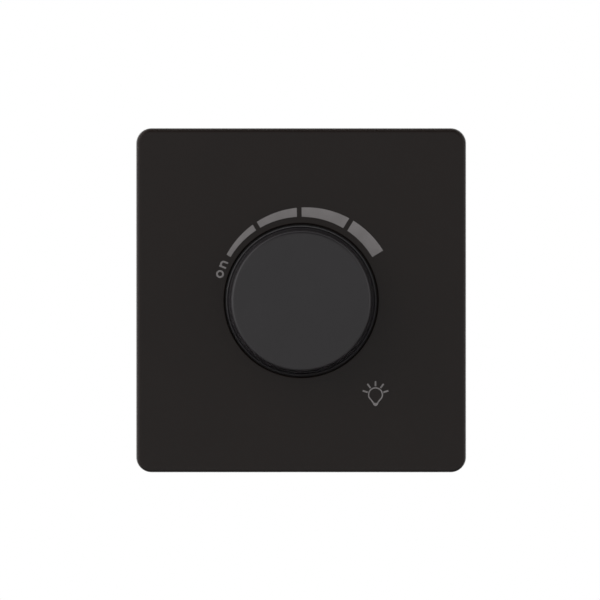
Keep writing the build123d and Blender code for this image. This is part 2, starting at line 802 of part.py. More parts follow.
# Can: steel cover around rotor and wafer, with a window for the tongue and an inward end stop
with BuildPart() as pot_can:
    can_inner = can_radius - can_wall
    with BuildSketch(knob_section):
        with BuildLine():
            Polyline(
                (can_radius, bushing_back),
                (can_radius, can_back),
                (tail_radius + switch_bore_gap, can_back),
                (tail_radius + switch_bore_gap, wafer_back),
                (can_inner, wafer_back),
                (can_inner, bushing_back),
                close=True,
            )
        make_face()
    revolve(axis=Axis.Y)
    with BuildSketch(facing_box(rotor_front)):
        Circle(can_inner)
        Circle(stop_radius, mode=Mode.SUBTRACT)
        with Locations((0, -can_inner)):
            Rectangle(stop_width, can_inner, mode=Mode.INTERSECT)
    extrude(amount=rotor_thickness)
    with BuildSketch(facing_box(wafer_front + wafer_rim_gap)):
        Rectangle(wafer_tongue_width + 2 * wafer_rim_gap, 2 * can_radius, align=(Align.CENTER, Align.MAX))
    extrude(amount=wafer_thickness + wafer_rim_gap, mode=Mode.SUBTRACT)
pot_can.part.label = "pot_can"
export_step(pot_can.part, "parts/pot_can.step")

# Mains switch: sealed moulded cup behind the can, turned by the shaft's tail
with BuildPart() as switch_cup:
    with BuildSketch(facing_box(can_back)):
        Circle(switch_radius)
    extrude(amount=switch_length)
    fillet(switch_cup.faces().sort_by(Axis.Y)[-1].edges(), switch_edge_radius)
    with BuildSketch(facing_box(can_back)):
        Circle(tail_radius + switch_bore_gap)
    extrude(amount=tail_in_switch + switch_bore_gap, mode=Mode.SUBTRACT)
switch_cup.part.label = "switch_cup"
export_step(switch_cup.part, "parts/switch_cup.step")

with BuildPart() as switch_pins:
    with BuildSketch(facing_room(lead_end)):
        with Locations(*switch_pin_points):
            Circle(pillar_leg_radius)
    extrude(amount=switch_back - lead_end)
switch_pins.part.label = "switch_pins"
export_step(switch_pins.part, "parts/switch_pins.step")

# Toothed lock washer and hexagon nut on the bushing's neck
with BuildPart() as lock_washer:
    with BuildSketch(facing_room(support_front)):
        Circle(washer_radius)
        Circle(bushing_radius + thread_gap, mode=Mode.SUBTRACT)
        with PolarLocations(bushing_radius, washer_tooth_count):
            Rectangle(2 * washer_tooth_depth, washer_tooth_width, mode=Mode.SUBTRACT)
    extrude(amount=washer_thickness)
lock_washer.part.label = "lock_washer"
export_step(lock_washer.part, "parts/lock_washer.step")

with BuildPart() as bushing_nut:
    with BuildSketch(facing_room(support_front + washer_thickness)):
        RegularPolygon(nut_across_flats / 2, side_count=6, major_radius=False)
        Circle(bushing_radius + thread_gap, mode=Mode.SUBTRACT)
    extrude(amount=nut_thickness)
bushing_nut.part.label = "bushing_nut"
export_step(bushing_nut.part, "parts/bushing_nut.step")

# Circuit board with its post holes and the holes for every lead
axial_leads = [(x, axial_z + side * resistor_span / 2) for x in resistor_x for side in (-1, 1)]
axial_leads += [(diac_x, axial_z + side * diac_span / 2) for side in (-1, 1)]
axial_leads += [(fuse_x, fuse_z + side * fuse_span / 2) for side in (-1, 1)]
thin_leads = triac_leads + choke_leads + suppressor_leads + timing_leads + axial_leads
pillar_legs = [(side * (pillar_offset - pillar_leg_shift), wire_z) for side in (-1, 1)]
with BuildPart() as circuit_board:
    with BuildSketch(facing_box(board_front)):
        RectangleRounded(board_width, board_height, board_corner_radius)
        with Locations(*[(-x, z) for x, z in thin_leads]):
            Circle(lead_radius + lead_gap, mode=Mode.SUBTRACT)
        with Locations(*[(-x, z) for x, z in pillar_legs + switch_pin_points]):
            Circle(pillar_leg_radius + lead_gap, mode=Mode.SUBTRACT)
        with Locations(*[(x, tag_z) for x in tag_x]):
            Circle(tag_width / 2 + lead_gap, mode=Mode.SUBTRACT)
        with Locations(*[(-x, z) for x, z in screw_posts]):
            Circle(board_screw_radius + peg_gap, mode=Mode.SUBTRACT)
        with Locations(*[(-x, z) for x, z in peg_posts]):
            Circle(peg_radius + peg_gap, mode=Mode.SUBTRACT)
    extrude(amount=board_thickness)
circuit_board.part.label = "circuit_board"
export_step(circuit_board.part, "parts/circuit_board.step")

with BuildPart() as board_screws:
    with BuildSketch(facing_room(board_front)):
        with Locations(*screw_posts):
            Circle(board_screw_head_radius)
    extrude(amount=board_screw_head_height, taper=screw_head_taper)
    with BuildSketch(facing_box(board_front)):
        with Locations(*[(-x, z) for x, z in screw_posts]):
            Circle(board_screw_radius)
    extrude(amount=board_screw_length)
board_screws.part.label = "board_screws"
export_step(board_screws.part, "parts/board_screws.step")

# Triac, flat on the back of the support plate, with its insulating pad and screw
tab_front = flange_front - pad_thickness
lead_height = tab_front - triac_thickness / 2
with BuildPart() as triac:
    with BuildSketch(facing_box(tab_front)):
        with Locations((-triac_body_end, triac_z)):
            Rectangle(triac_body_length, triac_width, align=(Align.MIN, Align.CENTER))
    extrude(amount=triac_thickness)
    chamfer(triac.faces().sort_by(Axis.Y)[-1].edges(), triac_edge)
    with BuildSketch(facing_box(tab_front)):
        with Locations((-triac_body_end, triac_z)):
            Rectangle(triac_tab_length, triac_width, align=(Align.MAX, Align.CENTER))
        with Locations((-triac_hole_x, triac_z)):
            Circle(triac_hole_radius, mode=Mode.SUBTRACT)
    extrude(amount=triac_tab_thickness)
    for x, z in triac_leads:
        with BuildLine(Plane(origin=(0, 0, z), x_dir=(1, 0, 0), z_dir=(0, 0, -1))) as triac_wire:
            corners = (triac_body_start, lead_height), (x, lead_height), (x, lead_end)
            FilletPolyline(*corners, radius=lead_bend_radius)
        with BuildSketch(Plane(origin=triac_wire.line @ 0, z_dir=triac_wire.line % 0)):
            Circle(lead_radius)
        sweep(path=triac_wire.line)
triac.part.label = "triac"
export_step(triac.part, "parts/triac.step")

with BuildPart() as triac_pad:
    with BuildSketch(facing_box(flange_front)):
        with Locations((-triac_tab_end - pad_margin, triac_z)):
            Rectangle(
                triac_tab_end - triac_body_start + 2 * pad_margin,
                triac_width + 2 * pad_margin,
                align=(Align.MIN, Align.CENTER),
            )
        with Locations((-triac_hole_x, triac_z)):
            Circle(triac_hole_radius, mode=Mode.SUBTRACT)
    extrude(amount=pad_thickness)
triac_pad.part.label = "triac_pad"
export_step(triac_pad.part, "parts/triac_pad.step")

with BuildPart() as triac_screw:
    with BuildSketch(facing_box(tab_front - triac_tab_thickness)):
        with Locations((-triac_hole_x, triac_z)):
            Circle(triac_screw_head_radius)
    extrude(amount=triac_screw_head_height, taper=screw_head_taper)
    with BuildSketch(facing_room(tab_front - triac_tab_thickness)):
        with Locations((triac_hole_x, triac_z)):
            Circle(triac_screw_radius)
    extrude(amount=support_front - tab_front + triac_tab_thickness)
triac_screw.part.label = "triac_screw"
export_step(triac_screw.part, "parts/triac_screw.step")

# Choke: ferrite drum and its copper winding, standing on the board
choke_front = board_front + choke_height
with BuildPart() as choke_core:
    with BuildSketch(Plane(origin=(choke_x, 0, choke_z), x_dir=(1, 0, 0), z_dir=(0, 0, -1))):
        with BuildLine():
            Polyline(
                (0, board_front),
                (choke_radius, board_front),
                (choke_radius, board_front + choke_flange),
                (choke_core_radius, board_front + choke_flange),
                (choke_core_radius, choke_front - choke_flange),
                (choke_radius, choke_front - choke_flange),
                (choke_radius, choke_front),
                (0, choke_front),
                close=True,
            )
        make_face()
    revolve(axis=Axis((choke_x, 0, choke_z), (0, 1, 0)))
    with BuildSketch(facing_box(board_front)):
        with Locations(*[(-x, z) for x, z in choke_leads]):
            Circle(lead_radius)
    extrude(amount=board_front - lead_end)
choke_core.part.label = "choke_core"
export_step(choke_core.part, "parts/choke_core.step")

with BuildPart() as choke_winding:
    with BuildSketch(facing_room(board_front + choke_flange)):
        with Locations((choke_x, choke_z)):
            Circle(choke_radius - choke_winding_gap)
            Circle(choke_core_radius + thread_gap, mode=Mode.SUBTRACT)
    extrude(amount=choke_height - 2 * choke_flange)
choke_winding.part.label = "choke_winding"
export_step(choke_winding.part, "parts/choke_winding.step")

# Capacitors, resistors, diac and fuse on the board
with BuildPart() as suppression_capacitor:
    with BuildSketch(facing_room(board_front)):
        with Locations((suppressor_x, suppressor_z)):
            RectangleRounded(suppressor_width, suppressor_length, capacitor_corner_radius)
    extrude(amount=suppressor_height)
    with BuildSketch(facing_box(board_front)):
        with Locations(*[(-x, z) for x, z in suppressor_leads]):
            Circle(lead_radius)
    extrude(amount=board_front - lead_end)
suppression_capacitor.part.label = "suppression_capacitor"
export_step(suppression_capacitor.part, "parts/suppression_capacitor.step")

with BuildPart() as timing_capacitor:
    with BuildSketch(facing_room(board_front)):
        with Locations((timing_x, timing_z)):
            RectangleRounded(timing_length, timing_width, capacitor_corner_radius)
    extrude(amount=timing_height)
    with BuildSketch(facing_box(board_front)):
        with Locations(*[(-x, z) for x, z in timing_leads]):
            Circle(lead_radius)
    extrude(amount=board_front - lead_end)
timing_capacitor.part.label = "timing_capacitor"
export_step(timing_capacitor.part, "parts/timing_capacitor.step")

resistor_pair = [axial_part(x, axial_z, resistor_radius, resistor_length, resistor_span) for x in resistor_x]
with BuildPart() as resistors:
    add(resistor_pair)
resistors.part.label = "resistors"
export_step(resistors.part, "parts/resistors.step")

diac = axial_part(diac_x, axial_z, diac_radius, diac_length, diac_span)
diac.label = "diac"
export_step(diac, "parts/diac.step")

fuse = axial_part(fuse_x, fuse_z, fuse_radius, fuse_length, fuse_span)
fuse.label = "fuse"
export_step(fuse, "parts/fuse.step")

# Wire terminals: brass pillars with a hole for the wire, a leg into the board and a clamping screw
with BuildPart() as terminal_pillars:
    with BuildSketch(facing_room(pillar_back)):
        with Locations(*[(x, pillar_z) for x in pillar_x]):
            Rectangle(pillar_width, pillar_height)
    extrude(amount=pillar_length)
    chamfer(terminal_pillars.faces().group_by(Axis.Y)[-1].edges(), pillar_edge)
    with BuildSketch(facing_room(board_back)):
        with Locations(*pillar_legs):
            Circle(pillar_leg_radius)
    extrude(amount=board_thickness + lead_tail)
    with Locations(*[Plane(origin=(x, -pillar_back, wire_z), z_dir=(0, 1, 0)) for x in pillar_x]):
        Hole(wire_hole_radius, depth=wire_hole_depth)
    with Locations(*[facing_down(x, pillar_bottom) for x in pillar_x]):
        Hole(terminal_screw_radius + thread_gap, depth=wire_z - pillar_bottom)
terminal_pillars.part.label = "terminal_pillars"
export_step(terminal_pillars.part, "parts/terminal_pillars.step")

screw_head_end = -case_height / 2 + terminal_screw_recess
screw_tip = wire_z - wire_hole_radius - terminal_screw_back_off
with BuildPart() as terminal_screws:
    for x in pillar_x:
        with BuildSketch(Plane(origin=(x, -pillar_middle, screw_head_end), z_dir=(0, 0, 1))):
            Circle(terminal_screw_head_radius)
        extrude(amount=pillar_bottom - screw_head_end)
        with BuildSketch(Plane(origin=(x, -pillar_middle, pillar_bottom), z_dir=(0, 0, 1))):
            Circle(terminal_screw_radius)
        extrude(amount=screw_tip - pillar_bottom)
        with BuildSketch(Plane(origin=(x, -pillar_middle, screw_head_end), z_dir=(0, 0, 1))):
            Rectangle(2 * terminal_screw_head_radius, terminal_screw_slot)
        extrude(amount=terminal_screw_slot_depth, mode=Mode.SUBTRACT)
terminal_screws.part.label = "terminal_screws"
export_step(terminal_screws.part, "parts/terminal_screws.step")
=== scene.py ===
import math

import bmesh
import bpy
import numpy as np
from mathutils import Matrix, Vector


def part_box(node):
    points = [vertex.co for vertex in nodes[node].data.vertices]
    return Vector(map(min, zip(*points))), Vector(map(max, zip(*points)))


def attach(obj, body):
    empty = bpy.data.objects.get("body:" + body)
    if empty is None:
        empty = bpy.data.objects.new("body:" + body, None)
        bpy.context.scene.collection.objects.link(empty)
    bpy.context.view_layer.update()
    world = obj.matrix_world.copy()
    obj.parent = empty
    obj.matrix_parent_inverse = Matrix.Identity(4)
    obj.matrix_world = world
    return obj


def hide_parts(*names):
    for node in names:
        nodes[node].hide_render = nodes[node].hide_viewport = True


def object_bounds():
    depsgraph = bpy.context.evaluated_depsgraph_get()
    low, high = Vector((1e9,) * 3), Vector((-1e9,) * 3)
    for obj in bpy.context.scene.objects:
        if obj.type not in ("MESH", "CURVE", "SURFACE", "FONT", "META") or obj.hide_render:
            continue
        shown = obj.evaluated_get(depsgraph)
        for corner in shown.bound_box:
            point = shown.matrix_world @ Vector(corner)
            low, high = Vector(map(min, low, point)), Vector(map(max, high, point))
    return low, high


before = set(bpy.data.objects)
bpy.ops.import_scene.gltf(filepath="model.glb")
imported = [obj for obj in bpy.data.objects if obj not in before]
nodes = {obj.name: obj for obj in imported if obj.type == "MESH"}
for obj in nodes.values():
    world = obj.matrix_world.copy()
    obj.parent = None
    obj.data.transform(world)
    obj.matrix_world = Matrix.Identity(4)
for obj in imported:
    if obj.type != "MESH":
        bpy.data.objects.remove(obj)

# Rotary dimmer switch. Lengths below are in millimetres and become metres when a mesh is made.
# Heights are measured from the wall plane into the room, so a height h lies at y = -h.
mm = 0.001
sharpAngle = math.radians(32)
weld = {"piece": 1e-7, "node": 2e-6}    # points closer than this are merged, in metres
noiseSpan = (0.3, 0.7)                  # most of a noise's values lie between these
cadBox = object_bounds()
scene = bpy.context.scene
scene.view_settings.view_transform = "Standard"
print("frame loaded:", len(nodes), "nodes")


class Shade:
    # an output socket: arithmetic on it adds Math nodes to its tree
    def __init__(self, finish, socket):
        self.finish = finish
        self.socket = socket

    def maths(self, operation, first, second=0.0):
        return self.finish.node("ShaderNodeMath", {"operation": operation}, {0: first, 1: second})

    def __add__(self, other):
        return self.maths("ADD", self, other)

    def __radd__(self, other):
        return self.maths("ADD", other, self)

    def __sub__(self, other):
        return self.maths("SUBTRACT", self, other)

    def __rsub__(self, other):
        return self.maths("SUBTRACT", other, self)

    def __mul__(self, other):
        return self.maths("MULTIPLY", self, other)

    def __rmul__(self, other):
        return self.maths("MULTIPLY", other, self)

    def __lt__(self, other):
        return self.maths("LESS_THAN", self, other)

    def __gt__(self, other):
        return self.maths("GREATER_THAN", self, other)

    def __abs__(self):
        return self.maths("ABSOLUTE", self)

    def top(self, other):
        return self.maths("MAXIMUM", self, other)

    def sway(self, amount):
        # a noise of 0 to 1 as a change of up to half the amount either way
        return (self - 0.5) * amount


class Finish:
    # the node tree of a material or of the world, and the one method that adds nodes to it
    def __init__(self, owner):
        owner.use_nodes = True
        self.owner = owner
        self.tree = owner.node_tree
        self.tree.nodes.clear()

    def node(self, kind, settings=None, sockets=None, out=0):
        made = self.tree.nodes.new(kind)
        for key, value in (settings or {}).items():
            setattr(made, key, value)
        for key, value in (sockets or {}).items():
            if isinstance(value, Shade):
                self.tree.links.new(value.socket, made.inputs[key])
            else:
                made.inputs[key].default_value = value
        return Shade(self, made.outputs[out]) if len(made.outputs) else None

    def place(self):
        return self.node("ShaderNodeTexCoord", out="Object")

    def axis(self, place, letter):
        return self.node("ShaderNodeSeparateXYZ", {}, {0: place}, out=letter)

    def ray(self, kind):
        return self.node("ShaderNodeLightPath", out=kind)

    def noise(self, place, scale, detail=2.0, roughness=0.5, stretch=None):
        if stretch:
            place = self.node("ShaderNodeMapping", {}, {"Vector": place, "Scale": stretch})
        sockets = {"Vector": place, "Scale": scale, "Detail": detail, "Roughness": roughness}
        return self.node("ShaderNodeTexNoise", {}, sockets)

    def blend(self, factor, first, second):
        # the Mix node's colour sockets share their names with its others, so they go by number
        return self.node("ShaderNodeMix", {"data_type": "RGBA"}, {0: factor, 6: first, 7: second}, out=2)

    def ease(self, value, start, end, low=0.0, high=1.0):
        sockets = {"Value": value, "From Min": start, "From Max": end, "To Min": low, "To Max": high}
        return self.node("ShaderNodeMapRange", {"interpolation_type": "SMOOTHSTEP"}, sockets)

    def mottled(self, noise, colour, mottle):
        # a colour that the noise makes darker and lighter by a share of itself
        dark, light = shaded(colour, 1 - mottle), shaded(colour, 1 + mottle)
        return self.blend(self.ease(noise, *noiseSpan), dark, light)

    def bump(self, height, depth, strength):
        return self.node("ShaderNodeBump", {}, {"Height": height, "Distance": depth, "Strength": strength})

    def surface(self, **sockets):
        words = {name.replace("_", " "): value for name, value in sockets.items()}
        shader = self.node("ShaderNodeBsdfPrincipled", {}, words)
        self.node("ShaderNodeOutputMaterial", {}, {"Surface": shader})
        return self.owner


def newFinish(name):
    return Finish(bpy.data.materials.new(name))


def linear(red, green, blue):
    # a display colour of 0 to 255 as the linear colour that a shader takes
    share = np.array([red, green, blue]) / 255
    value = np.where(share <= 0.04045, share / 12.92, ((share + 0.055) / 1.055) ** 2.4)
    return (*value.tolist(), 1.0)


def shaded(colour, factor):
    # a linear colour made darker or lighter by a factor
    return (*[min(1.0, channel * factor) for channel in colour[:3]], 1.0)


# Finishes that several pieces share
moulding = {
    "driftScale": 55.0, "speckScale": 2600.0, "speckShare": 0.3,
    "driftGloss": 0.20, "grainGloss": 0.24, "grainStrength": 0.6,
}
plating = {
    "patchScale": 160.0, "patchGloss": 0.10, "streakGloss": 0.22, "streakDepth": 0.003, "streakStrength": 0.5,
    "mottle": 0.08,
}


def mouldedPlastic(name, colour, roughness, specular, grain=0.28, depth=0.006, mottle=0.06):
    # satin moulding: a spark-eroded grain in bump and roughness, and slow drifts of tone from the melt
    finish = newFinish(name)
    place = finish.place()
    drift = finish.noise(place, moulding["driftScale"], 3.0)
    fine = finish.noise(place, 1000.0 / grain, 2.0, 0.6)
    speck = finish.noise(place, moulding["speckScale"], 1.0)
    share = moulding["speckShare"]
    base = finish.mottled(drift * (1 - share) + speck * share, colour, mottle)
    rough = roughness * (1 + drift.sway(moulding["driftGloss"]) + fine.sway(moulding["grainGloss"]))
    return finish.surface(Base_Color=base, Roughness=rough, Specular_IOR_Level=specular,
                          Normal=finish.bump(fine, depth * mm, moulding["grainStrength"]))


def platedMetal(name, colour, roughness, brush=(1.0, 1.0, 1.0), scale=900.0):
    # plated or rolled metal: streaks along the working direction and faint patches in tone and gloss
    finish = newFinish(name)
    place = finish.place()
    patches = finish.noise(place, plating["patchScale"], 3.0)
    streaks = finish.noise(place, scale, 3.0, 0.6, stretch=brush)
    base = finish.mottled(patches, colour, plating["mottle"])
    rough = roughness + streaks.sway(plating["streakGloss"]) + patches.sway(plating["patchGloss"])
    return finish.surface(Base_Color=base, Roughness=rough, Metallic=1.0,
                          Normal=finish.bump(streaks, plating["streakDepth"] * mm, plating["streakStrength"]))


# Meshes as lists of points and faces
def gridQuads(rows, columns, rowsClosed, columnsClosed):
    # the quads between neighbouring rows and columns of a grid, wrapped where it is closed
    row = np.arange(rows if rowsClosed else rows - 1)[:, None]
    column = np.arange(columns if columnsClosed else columns - 1)[None, :]
    nextRow, nextColumn = (row + 1) % rows, (column + 1) % columns
    corners = (row * columns + column, row * columns + nextColumn,
               nextRow * columns + nextColumn, nextRow * columns + column)
    return np.stack(np.broadcast_arrays(*corners), axis=-1).reshape(-1, 4).tolist()


def joinMeshes(meshes):
    # several point and face lists as one, with each list's faces counted on from the points before it
    starts = np.cumsum([0] + [len(points) for points, faces in meshes[:-1]]).tolist()
    joined = []
    for start, (_, faces) in zip(starts, meshes):
        joined += [[corner + start for corner in face] for face in faces]
    return np.concatenate([points for points, faces in meshes]), joined


def addPiece(name, meshes, material, body, replaced=()):
    # meshes as one piece in metres: doubles merged, faces outward, smooth but for its sharp edges
    points, faces = joinMeshes(list(meshes))
    mesh = bpy.data.meshes.new(name)
    mesh.from_pydata((points * mm).tolist(), [], faces)
    work = bmesh.new()
    work.from_mesh(mesh)
    bmesh.ops.remove_doubles(work, verts=work.verts, dist=weld["piece"])
    bmesh.ops.recalc_face_normals(work, faces=work.faces)
    work.to_mesh(mesh)
    work.free()
    mesh.shade_smooth()
    mesh.set_sharp_from_angle(angle=sharpAngle)
    mesh.materials.append(material)
    piece = bpy.data.objects.new(name, mesh)
    scene.collection.objects.link(piece)
    flat = piece.modifiers.new("flatFaces", "WEIGHTED_NORMAL")
    flat.keep_sharp = True
    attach(piece, body)
    if replaced:
        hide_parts(*replaced)
    print("piece", name, len(points), "points")


def arc(centre, radius, start, end, steps):
    # points of a circular arc, from one angle to another in degrees
    turn = np.radians(np.linspace(start, end, steps))
    return np.stack([centre[0] + radius * np.cos(turn), centre[1] + radius * np.sin(turn)], axis=1)


def extruded(outline, low, high):
    # a prism: the outline (z, height) carried along x between two places
    count = len(outline)
    ends = [np.stack([np.full(count, x), -outline[:, 1], outline[:, 0]], axis=1) for x in (low, high)]
    caps = [list(range(count)), list(range(count, 2 * count))]
    return np.concatenate(ends), gridQuads(2, count, False, True) + caps


# Face plate: rounded-rectangle rings outside, round rings at the knob's hole, as one closed sheet
plate = {
    "corner": 4.0, "edge": 1.1, "draft": 1.5, "wall": 2.0, "ceiling": 7.0, "rimEdge": 0.12,
    "runningGap": 0.3, "holeEdge": 0.4, "wellWall": 1.2,
    "floorBack": 5.6, "floorFront": 6.8, "floorHole": 6.7735,
    "notchWidth": 10.0, "notchHeight": 1.4, "notchDepth": 1.65, "notchStep": 0.005,
    "hookX": 22.0, "hookWidth": 8.0, "hookInset": 4.1, "hookThickness": 1.4, "hookBarb": 0.9,
    "hookCatch": 2.6, "hookNose": 2.3, "hookTip": 1.3,
    "sideSteps": 60, "cornerSteps": 14, "filletSteps": 9,
    "frontShares": (0.004, 0.15, 0.4, 0.65, 0.9, 0.996), "ceilingShares": (0.3, 0.7, 1.0),
    "colour": linear(20.0, 13.8, 11.4), "roughness": 0.36, "specular": 0.335,
}


def plateColumns(half):
    # places round the outline: a core rectangle's points and the outward directions there.
    # Along a side the points lie at equal angles seen from the middle, so that the hole is evenly divided.
    # The last quarter is the lower side, with close pairs of points at both ends of its notch
    core, out = [], []
    notch = plate["notchWidth"] / 2 + np.array([-1, 1]) * plate["notchStep"]
    inner = half - plate["corner"]
    for quarter in range(4):
        turn = math.radians(90 * quarter)
        along, across = (inner, half[::-1]) if quarter % 2 else (inner[::-1], half)
        limit = math.atan(along[0] / across[0])
        place = np.tan(np.linspace(-limit, limit, plate["sideSteps"])) * across[0]
        if quarter == 3:
            place = np.sort(np.concatenate([place, notch, -notch]))
        side = np.stack([np.ones_like(place), place / along[0]], axis=1)
        bend = np.radians(np.linspace(0, 90, plate["cornerSteps"] + 2)[1:-1])
        spin = np.array([[math.cos(turn), math.sin(turn)], [-math.sin(turn), math.cos(turn)]])
        core += [side @ spin, np.ones((len(bend), 2)) @ spin]
        out += [np.tile([1.0, 0.0], (len(place), 1)) @ spin, np.stack([np.cos(bend), np.sin(bend)], 1) @ spin]
    return np.concatenate(core), np.concatenate(out)


def plateMesh():
    # rows of the sheet: across the well's floor, up the hole, over its edge, across the front,
    # round the outer edge, down the drafted side, under the rim, up the inner wall,
    # across the ceiling and down the well
    low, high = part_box("face_plate")
    half = np.array([high.x, high.z]) / mm
    front, rim = -low.y / mm, -high.y / mm
    core, out = plateColumns(half)
    coreRing = core * (half - plate["corner"])
    direction = coreRing + out * plate["corner"]
    direction /= np.linalg.norm(direction, axis=1, keepdims=True)
    slope = math.tan(math.radians(plate["draft"]))
    inNotch = (np.abs(coreRing[:, 0]) < plate["notchWidth"] / 2) & (out[:, 1] < -0.5)

    def ring(inset):
        return coreRing + out * (plate["corner"] - inset)

    def circle(radius):
        return direction * radius

    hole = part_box("knob")[1].x / mm + plate["runningGap"]
    floorHole = circle(plate["floorHole"])
    rows = [(floorHole, plate["floorBack"]), (floorHole, plate["floorFront"])]
    rows.append((circle(hole), plate["floorFront"]))
    holeStart = front - plate["holeEdge"]
    for turn in np.radians(np.linspace(0, 90, plate["filletSteps"])):
        widen = plate["holeEdge"] * (1 - math.cos(turn))
        rows.append((circle(hole + widen), holeStart + plate["holeEdge"] * math.sin(turn)))
    edgeHeight = front - plate["edge"]
    edgeInset = slope * (edgeHeight - rim) + plate["edge"] / math.cos(math.radians(plate["draft"]))
    inner, outer = rows[-1][0], ring(edgeInset)
    rows += [(inner + (outer - inner) * share, front) for share in plate["frontShares"]]
    for turn in np.radians(np.linspace(90, plate["draft"], plate["filletSteps"])):
        inset = edgeInset - plate["edge"] * math.cos(turn)
        rows.append((ring(inset), edgeHeight + plate["edge"] * math.sin(turn)))
    foot = rim + plate["notchHeight"] * inNotch
    lift = foot + plate["rimEdge"]
    rows.append((ring((slope * (lift - rim))[:, None]), lift))
    rows.append((ring((slope * (foot - rim))[:, None] + plate["rimEdge"]), foot))
    rows += [(ring(plate["notchDepth"]), foot), (ring(plate["notchDepth"] + plate["notchStep"]), rim)]
    rows += [(ring(plate["wall"]), rim), (ring(plate["wall"]), plate["ceiling"])]
    shell, well = ring(plate["wall"]), circle(hole + plate["wellWall"])
    rows += [(shell + (well - shell) * share, plate["ceiling"]) for share in plate["ceilingShares"]]
    rows.append((well, plate["floorBack"]))
    count = len(core)
    points = [np.stack([flat[:, 0], -np.broadcast_to(height, count), flat[:, 1]], axis=1)
              for flat, height in rows]
    return np.concatenate(points), gridQuads(len(rows), count, True, True)


def hookMeshes():
    # the four snap hooks behind the plate, each the hook's outline carried along x
    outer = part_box("face_plate")[1].z / mm - plate["hookInset"]
    inner, barb = outer - plate["hookThickness"], outer + plate["hookBarb"]
    outline = np.array([(inner, plate["ceiling"]), (outer, plate["ceiling"]), (outer, plate["hookCatch"]),
                        (barb, plate["hookCatch"]), (barb, plate["hookNose"]), (outer, plate["hookTip"]),
                        (inner, plate["hookTip"])])
    flipped = outline * (-1, 1)
    for x in (-plate["hookX"], plate["hookX"]):
        for shape in (outline, flipped):
            yield extruded(shape, x - plate["hookWidth"] / 2, x + plate["hookWidth"] / 2)


platePlastic = mouldedPlastic("platePlastic", plate["colour"], plate["roughness"], plate["specular"])
addPiece("facePlate", [plateMesh(), *hookMeshes()], platePlastic, "base", ["face_plate"])


# Knob: one profile turned about the axis, with the flatted bore in its hub, and six ribs inside
knob = {
    "sideLean": 6.3, "edge": 1.0, "faceBand": 0.04, "wall": 1.7,
    "lipInset": 0.06, "lipWidth": 0.50, "lipDrop": 7.7, "groove": 0.45, "lipCrest": 0.32,
    "lipTop": 0.20, "lipLean": 45.0, "lipEdge": 0.06,
    "hub": 5.2, "hubBack": 10.3, "bore": 3.02, "flat": 1.52, "leastSine": 0.01,
    "ribCount": 6, "ribWidth": 1.2, "ribDepth": 3.5, "ribIntoHub": 0.2, "ribIntoWall": 0.1,
    "columns": 288, "filletSteps": 13, "lipSteps": 5,
    "colour": linear(30.0, 28.4, 29.9), "roughness": 0.15, "specular": 0.5,
    "grain": 0.2, "grainDepth": 0.0008, "mottle": 0.05,
}


def knobSide():
    # the leaning side's foot in the groove behind the lip, and the radius the side would have at the face
    low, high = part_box("knob")
    drop = knob["lipDrop"] + knob["groove"]
    foot = (high.x / mm - knob["lipInset"] - knob["lipWidth"], -low.y / mm - drop)
    return foot, foot[0] - drop * math.tan(math.radians(knob["sideLean"]))


def knobMesh():
    # each row is a ring of one radius and height: over the face, round its edge, down the side into the
    # groove, over the lip, and back inside round the hub. In the bore the shaft's flat cuts the radius back
    low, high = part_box("knob")
    lip, face, back = high.x / mm - knob["lipInset"], -low.y / mm, -high.y / mm
    ceiling = face - knob["wall"]
    foot, top = knobSide()
    lean = math.radians(knob["sideLean"])
    edgeRadius = top + knob["edge"] * math.tan(lean) - knob["edge"] / math.cos(lean)
    topEdge = arc((edgeRadius, face - knob["edge"]), knob["edge"], 90, knob["sideLean"], knob["filletSteps"])
    crest = (foot[0] + knob["lipTop"], face - knob["lipDrop"] - knob["lipCrest"])
    slope = math.radians(knob["lipLean"])
    edgeIn = lip - knob["lipEdge"] * (1 - math.cos(slope))
    edgeHeight = crest[1] - (edgeIn - crest[0]) / math.tan(slope) - knob["lipEdge"] * math.sin(slope)
    lipCentre = (lip - knob["lipEdge"], edgeHeight)
    lipEdge = arc(lipCentre, knob["lipEdge"], knob["lipLean"], 0, knob["lipSteps"])
    faceRings = [(radius, face) for radius in (0, edgeRadius / 2, edgeRadius - knob["faceBand"])]
    inside = [(lip, back), (lip - knob["wall"], back), (top - knob["wall"], ceiling), (knob["hub"], ceiling),
              (knob["hub"], knob["hubBack"])]
    bore = [(knob["bore"], knob["hubBack"]), (knob["bore"], ceiling)]
    profile = np.concatenate([faceRings, topEdge, [foot, crest], lipEdge, inside, bore, [(0, ceiling)]])
    boreRows = slice(-1 - len(bore), -1)
    turn = np.linspace(0, 2 * math.pi, knob["columns"], endpoint=False)
    radius = np.repeat(profile[:, :1], knob["columns"], axis=1)
    cut = knob["flat"] / np.maximum(np.sin(turn), knob["leastSine"])
    radius[boreRows] = np.minimum(radius[boreRows], cut)
    height = np.repeat(profile[:, 1:], knob["columns"], axis=1)
    points = np.stack([radius * np.cos(turn), -height, radius * np.sin(turn)], axis=-1).reshape(-1, 3)
    return points, gridQuads(len(profile), knob["columns"], False, True)


def knobRibs():
    # ribs from the hub to the wall, each a thin box turned about the axis
    near = knob["hub"] - knob["ribIntoHub"]
    far = knobSide()[1] - knob["wall"] + knob["ribIntoWall"]
    ceiling = -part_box("knob")[0].y / mm - knob["wall"]
    foot = ceiling - knob["ribDepth"]
    outline = np.array([(near, ceiling), (far, ceiling), (far, foot), (near, foot)])
    box, faces = extruded(outline, -knob["ribWidth"] / 2, knob["ribWidth"] / 2)
    for turn in np.radians(np.arange(knob["ribCount"]) * 360 / knob["ribCount"] + 90):
        cosine, sine = math.cos(turn), math.sin(turn)
        yield box @ np.array([[cosine, 0, sine], [0, 1, 0], [-sine, 0, cosine]]), faces


